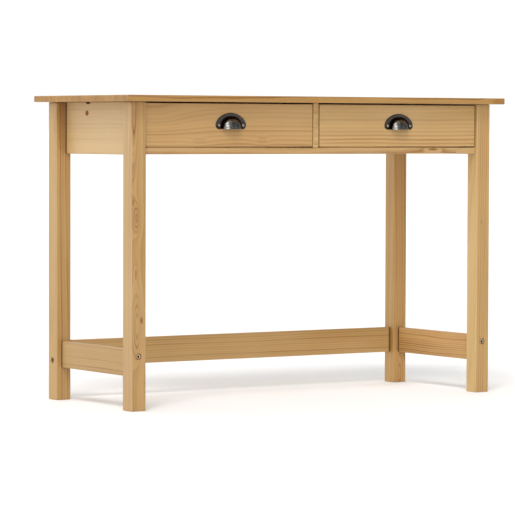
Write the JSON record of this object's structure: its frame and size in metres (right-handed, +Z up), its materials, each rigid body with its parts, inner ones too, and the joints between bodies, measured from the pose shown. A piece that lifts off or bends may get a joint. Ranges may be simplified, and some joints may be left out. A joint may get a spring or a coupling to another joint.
{
  "type": "writing desk with drawers",
  "caption": "Waxed pine writing desk on square legs, with side-by-side drawers that slide out on cup handles, low stretchers at the sides and rear, and an open knee space.",
  "frame": {"origin": "on the floor under the middle of the tabletop", "axes": "+X to the right of a person facing the drawers, +Y to the rear, +Z up"},
  "size_m": [1.1, 0.45, 0.74],
  "materials": {
    "waxed_pine": "honey-coloured wax over straight-grained pine",
    "drawer_pine": "unwaxed planed pine",
    "plywood": "thin sanded plywood",
    "zinc_steel": "bright zinc plate",
    "pewter": "dark pewter plate, worn bright on the edges"
  },
  "bodies": {
    "frame": {"tabletop": "waxed_pine", "front_left_leg": "waxed_pine", "front_right_leg": "waxed_pine", "rear_left_leg": "waxed_pine", "rear_right_leg": "waxed_pine", "left_apron": "waxed_pine", "right_apron": "waxed_pine", "rear_apron": "waxed_pine", "front_rail": "waxed_pine", "centre_partition": "waxed_pine", "left_stretcher": "waxed_pine", "right_stretcher": "waxed_pine", "rear_stretcher": "waxed_pine", "left_runner": "drawer_pine", "centre_runner": "drawer_pine", "right_runner": "drawer_pine", "side_stretcher_bolt_front_left": "zinc_steel", "side_barrel_nut_front_left": "zinc_steel", "side_cam_bolt_front_left": "zinc_steel", "side_cam_lock_front_left": "zinc_steel", "top_screw_front_left": "zinc_steel", "side_stretcher_bolt_front_right": "zinc_steel", "side_barrel_nut_front_right": "zinc_steel", "side_cam_bolt_front_right": "zinc_steel", "side_cam_lock_front_right": "zinc_steel", "top_screw_front_right": "zinc_steel", "side_stretcher_bolt_rear_left": "zinc_steel", "side_barrel_nut_rear_left": "zinc_steel", "side_cam_bolt_rear_left": "zinc_steel", "side_cam_lock_rear_left": "zinc_steel", "top_screw_rear_left": "zinc_steel", "side_stretcher_bolt_rear_right": "zinc_steel", "side_barrel_nut_rear_right": "zinc_steel", "side_cam_bolt_rear_right": "zinc_steel", "side_cam_lock_rear_right": "zinc_steel", "top_screw_rear_right": "zinc_steel", "rear_stretcher_bolt_left": "zinc_steel", "rear_barrel_nut_left": "zinc_steel", "rear_cam_bolt_left": "zinc_steel", "rear_cam_lock_left": "zinc_steel", "rear_stretcher_bolt_right": "zinc_steel", "rear_barrel_nut_right": "zinc_steel", "rear_cam_bolt_right": "zinc_steel", "rear_cam_lock_right": "zinc_steel"},
    "left_drawer": {"left_drawer_front": "waxed_pine", "left_drawer_inner_side": "drawer_pine", "left_drawer_outer_side": "drawer_pine", "left_drawer_back": "drawer_pine", "left_drawer_bottom": "plywood", "left_cup_handle": "pewter", "left_handle_screw_a": "pewter", "left_handle_screw_b": "pewter"},
    "right_drawer": {"right_drawer_front": "waxed_pine", "right_drawer_inner_side": "drawer_pine", "right_drawer_outer_side": "drawer_pine", "right_drawer_back": "drawer_pine", "right_drawer_bottom": "plywood", "right_cup_handle": "pewter", "right_handle_screw_a": "pewter", "right_handle_screw_b": "pewter"}
  },
  "joints": [
    {"name": "left_drawer_slide", "type": "slide", "parent": "frame", "child": "left_drawer", "axis": [0, -1, 0], "range_m": [0, 0.25]},
    {"name": "right_drawer_slide", "type": "slide", "parent": "frame", "child": "right_drawer", "axis": [0, -1, 0], "range_m": [0, 0.25]}
  ]
}
